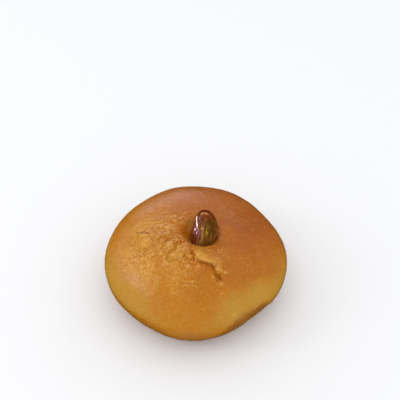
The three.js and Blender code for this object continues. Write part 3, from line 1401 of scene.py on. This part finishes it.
@dataclass
class Biscuit:
    """The domed biscuit: its plan, its section, the hollow at its crown and its crust."""

    waist_radius: float = 30.0
    waist_height: float = 12.0
    crown_rise: float = 16.0
    crown_fade: float = 4.0
    base_radius: float = 21.0
    lobes: tuple[Lobe, ...] = (Lobe(3, 0.26, -11.0), Lobe(4, 0.48, -2.0), Lobe(5, 0.30, -17.0))
    dish_depth: float = 2.2
    dish_reach: float = 11.0
    pit_depth: float = 2.4
    pit_place: Place = (2.0, -1.6)
    pit_radii: Span = (2.6, 7.0)
    smooth_foot: float = 5.0
    segments: int = 430
    rings: int = 220
    base_share: float = 0.04
    side_share: float = 0.16
    crowding: float = 0.45
    crowded_side: float = -125.0
    ring_ease: float = 0.1
    crust: Crust = Crust()
    kernel: KernelForm = KernelForm()
    finish: CrustFinish = CrustFinish()

    def section(self, share: float) -> Place:
        """Half section of the dome.

        Args:
            share: Way along it, from the middle of the base (0) to the top of the crown (1).

        Returns:
            The radius and height there.
        """
        if share < self.base_share:
            return self.base_radius * share / self.base_share, 0.0
        if share < self.base_share + self.side_share:
            turn = (math.pi / 2) * (1 - (share - self.base_share) / self.side_share)
            radius = self.base_radius + (self.waist_radius - self.base_radius) * math.cos(turn)
            return radius, self.waist_height * (1 - math.sin(turn))
        way = (share - self.base_share - self.side_share) / (1 - self.base_share - self.side_share)
        turn = (math.pi / 2) * (way + self.ring_ease * math.sin(math.pi * way))
        return self.waist_radius * math.cos(turn), self.waist_height + self.crown_rise * math.sin(turn)

    def plan_scale(self, angle: float) -> float:
        """How much wider than a circle the plan is in the direction of an angle."""
        return 1 + sum(lobe.at(angle) for lobe in self.lobes) / self.waist_radius

    def hollow(self, x: float, y: float) -> float:
        """Depth of the hollow that the kernel was pressed into, at a place in plan."""
        dish = self.dish_depth * bell(math.dist((x, y), self.kernel.place), self.dish_reach)
        return dish + self.pit_depth * (1 - smoothstep(math.dist((x, y), self.pit_place), *self.pit_radii))

    def plain_dome(self) -> Mesh:
        """Closed dome with its uneven plan and no relief, in millimetres.

        Returns:
            The mesh, with its facets closest where the crust has most detail.
        """
        bm = bmesh.new()
        bmesh.ops.create_uvsphere(bm, u_segments=self.segments, v_segments=self.rings, radius=1.0)
        focus = math.radians(self.crowded_side)
        for vert in bm.verts:
            share = 0.5 + math.asin(max(-1.0, min(1.0, vert.co.z))) / math.pi
            radius, height = self.section(share)
            angle = math.atan2(vert.co.y, vert.co.x)
            angle -= self.crowding * math.sin(angle - focus)
            radius *= self.plan_scale(angle)
            vert.co = (radius * math.cos(angle), radius * math.sin(angle), height)
        bm.normal_update()
        return bm

    def carve(self, bm: Mesh) -> None:
        """Give the plain dome its crust relief, its hollow and the kernel's socket.

        Args:
            bm: The plain dome, in millimetres.
        """
        marked = [layer for layer in Layer if layer is not Layer.SEED]
        layers = {layer: bm.verts.layers.float.new(layer.value) for layer in marked}
        inverse = self.kernel.matrix().inverted()
        for vert in bm.verts:
            point = vert.co.copy()
            on_crown = smoothstep(point.z, self.waist_height, self.waist_height + self.crown_fade)
            above_foot = smoothstep(point.z, 0.0, self.smooth_foot)
            spot = self.crust.at(point, on_crown, self.pit_place)
            moved = point + above_foot * spot.height * vert.normal
            moved.z -= on_crown * self.hollow(point.x, point.y)
            moved.z -= self.kernel.socket_depth(moved, inverse)
            vert.co = moved
            for layer, mark in spot.marks.items():
                vert[layers[layer]] = mark

    def build(self) -> Piece:
        """Build and dress the biscuit in place of its solid.

        Returns:
            The finished piece.
        """
        bm = self.plain_dome()
        self.carve(bm)
        settle(bm, CadNode.BISCUIT)
        piece = finish_piece(bm, BISCUIT_PIECE, self.finish.material())
        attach(piece, Body.ROOT.value)
        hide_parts(CadNode.BISCUIT.value)
        return piece


@dataclass
class Kernel:
    """The pistachio kernel: a ribbed, seamed seed that stands in the hollow."""

    form: KernelForm = KernelForm()
    seam_facing: float = -104.0
    seam_depth: float = 0.2
    seam_width: float = 0.7
    rib_height: float = 0.03
    rib_count: int = 9
    rib_twist: float = 2.0
    crinkle_height: float = 0.05
    crinkle: Ripple = Ripple(0.9, 2.7, 3)
    crinkle_stretch: float = 0.3
    low_crinkle: float = 1.5
    low_edges: Span = (0.3, 0.55)
    segments: int = 128
    rings: int = 96
    finish: KernelFinish = KernelFinish()

    def swell(self, point: Vector) -> float:
        """How far the skin stands out from a smooth seed.

        Args:
            point: Point of a unit ball.

        Returns:
            The height in millimetres.
        """
        angle = math.atan2(point.y, point.x)
        half_width = self.form.width / 2
        from_seam = abs(math.sin(angle - math.radians(self.seam_facing))) * half_width
        seam = self.seam_depth * bell(from_seam, self.seam_width)
        rib = self.rib_height * math.cos(self.rib_count * angle + self.rib_twist * point.z)
        along = Vector((point.x, point.y, self.crinkle_stretch * point.z)) * half_width
        crinkle = self.crinkle_height * self.crinkle.at(along)
        crinkle *= 1 + self.low_crinkle * (1 - smoothstep(point.z, *self.low_edges))
        return math.hypot(point.x, point.y) * (rib - seam + crinkle)

    def build(self) -> Piece:
        """Build and dress the kernel in place of its solid.

        Returns:
            The finished piece.
        """
        bm = bmesh.new()
        bmesh.ops.create_uvsphere(bm, u_segments=self.segments, v_segments=self.rings, radius=1.0)
        place = bm.verts.layers.float_vector.new(Layer.SEED.value)
        for vert in bm.verts:
            unit = vert.co.copy()
            vert[place] = unit
            swell = self.swell(unit)
            girth = math.hypot(unit.x, unit.y)
            fullness = girth ** -self.form.bluntness if girth > 0 else 1.0
            vert.co.x = unit.x * fullness * (self.form.width / 2 + swell)
            vert.co.x += self.form.axis_offset(unit.z)
            vert.co.y = unit.y * fullness * (self.form.thickness / 2 + swell)
            vert.co.z = unit.z * self.form.length / 2
        bmesh.ops.transform(bm, matrix=self.form.matrix(), verts=bm.verts)
        settle(bm, CadNode.KERNEL)
        piece = finish_piece(bm, KERNEL_PIECE, self.finish.material())
        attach(piece, Body.ROOT.value)
        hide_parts(CadNode.KERNEL.value)
        return piece


@dataclass(frozen=True)
class Lamp:
    """A soft light that looks at the biscuit, or a card whose reflection shows on one subject.

    Azimuth 0 stands in front of the biscuit and positive azimuths go to the viewer's right.
    """

    name: str
    azimuth: float
    elevation: float
    distance: float
    width: float
    height: float
    watts: float
    colour: Colour
    subject: str = ""
    gloss: float = 1.0
    roll: float = 0.0

    def build(self, target: Vector) -> None:
        """Put up the lamp.

        Args:
            target: Point that it looks at.
        """
        data = bpy.data.lights.new(self.name, "AREA")
        data.shape = "RECTANGLE"
        data.size, data.size_y = self.width, self.height
        data.energy, data.color = self.watts, self.colour
        data.specular_factor = self.gloss
        lamp = bpy.data.objects.new(self.name, data)
        around, up = math.radians(self.azimuth), math.radians(self.elevation)
        away = Vector((math.sin(around) * math.cos(up), -math.cos(around) * math.cos(up), math.sin(up)))
        lamp.location = target + self.distance * away
        roll = Quaternion(UP, math.radians(self.roll))
        lamp.rotation_euler = (away.to_track_quat("Z", "Y") @ roll).to_euler()
        if self.subject:
            lamp.visible_diffuse = False
            lit = bpy.data.collections.new(f"{self.name}_subject")
            lit.objects.link(bpy.data.objects[self.subject])
            lamp.light_linking.receiver_collection = lit
        bpy.context.scene.collection.objects.link(lamp)


@dataclass(frozen=True)
class PhotoCamera:
    """Camera at the photograph's viewing angle, in metres, degrees and pixels of a square picture."""

    name: str = "photo_camera"
    picture: float = 400.0
    focal: float = 700.0
    sensor: float = 36.0
    clip: Span = (0.01, 10.0)
    distance: float = 0.2355
    elevation: float = 48.46
    target: Point = (-0.00028, 0.00023, 0.012)
    target_pixel: Place = (194.6, 256.7)

    def build(self) -> None:
        """Make the camera and give it to the scene."""
        data = bpy.data.cameras.new(self.name)
        data.sensor_width = self.sensor
        data.lens = self.sensor * self.focal / self.picture
        data.clip_start, data.clip_end = self.clip
        camera = bpy.data.objects.new(self.name, data)
        up = math.radians(self.elevation)
        away = Vector((0.0, -math.cos(up), math.sin(up)))
        camera.location = Vector(self.target) + self.distance * away
        off_x, off_y = ((pixel - self.picture / 2) / self.focal for pixel in self.target_pixel)
        axis = up - math.atan(off_y)
        ahead = Vector((-off_x, math.cos(axis), -math.sin(axis)))
        camera.rotation_euler = ahead.to_track_quat("-Z", "Y").to_euler()
        bpy.context.scene.collection.objects.link(camera)
        bpy.context.scene.camera = camera


@dataclass
class Studio:
    """Plain pale floor, soft light and the camera."""

    floor_size: float = 3.0
    floor_colour: Colour = srgb(250, 250, 250)
    floor_roughness: float = 0.9
    sky_colour: Colour = (0.97, 0.98, 1.0)
    sky_strength: float = 1.02
    lamps: tuple[Lamp, ...] = (
        Lamp("window", -82.0, 28.0, 0.6, 0.12, 0.18, 0.3, (0.95, 0.95, 1.0), gloss=0.4),
        Lamp("shoulder_card", -82.0, 23.0, 0.6, 0.45, 0.14, 0.52, (0.84, 0.87, 1.0), BISCUIT_PIECE),
        Lamp("flank_card", -122.0, 14.0, 0.6, 0.36, 0.18, 0.22, (0.9, 0.9, 1.0), BISCUIT_PIECE),
        Lamp("back_card", -168.0, 11.0, 0.8, 0.5, 0.24, 0.8, (0.94, 0.86, 0.94), BISCUIT_PIECE),
        Lamp("crown_card", -178.0, 33.0, 0.8, 0.4, 0.2, 0.4, (1.0, 0.88, 0.86), BISCUIT_PIECE),
        Lamp("strip_card", -100.0, -10.5, 0.14, 0.115, 0.013, 0.2, (1.0, 0.79, 0.84), KERNEL_PIECE,
             roll=-12.5),
        Lamp("lilac_card", -70.0, -17.0, 0.14, 0.05, 0.04, 0.008, (0.8, 0.58, 1.0), KERNEL_PIECE),
        Lamp("halo_card", -78.0, 24.0, 0.14, 0.05, 0.05, 0.02, (0.6, 0.5, 1.0), KERNEL_PIECE),
    )
    camera: PhotoCamera = PhotoCamera()

    def lay_floor(self) -> None:
        """Lay the floor, which is not part of the object."""
        bm = bmesh.new()
        bmesh.ops.create_grid(bm, x_segments=1, y_segments=1, size=self.floor_size / 2)
        material, wires, shader = new_material("pale_floor")
        wires.feed(shader, {"Base Color": self.floor_colour, "Roughness": self.floor_roughness})
        floor = finish_piece(bm, "studio_floor", material)
        floor.visible_glossy = False

    def build(self) -> None:
        """Set up the floor, the lamps, the sky and the camera."""
        self.lay_floor()
        low, high = CAD_BOX
        for lamp in self.lamps:
            lamp.build(Vector((*((low + high) / 2).xy, high.z)))
        world = bpy.data.worlds.new("soft_sky")
        world.use_nodes = True
        sky = world.node_tree.nodes["Background"]
        sky.inputs["Color"].default_value = (*self.sky_colour, 1.0)
        sky.inputs["Strength"].default_value = self.sky_strength
        world.cycles_visibility.glossy = False
        bpy.context.scene.world = world
        bpy.context.scene.view_settings.view_transform = "Standard"
        self.camera.build()


def main() -> None:
    """Build the pieces and the studio in order, and report each piece."""
    logging.basicConfig(level=logging.INFO, format="%(name)s: %(message)s")
    for part in (Biscuit(), Kernel()):
        piece = part.build()
        LOG.info("%s: %d faces", piece.name, len(piece.data.polygons))
    Studio().build()


if __name__ == "__main__":
    main()
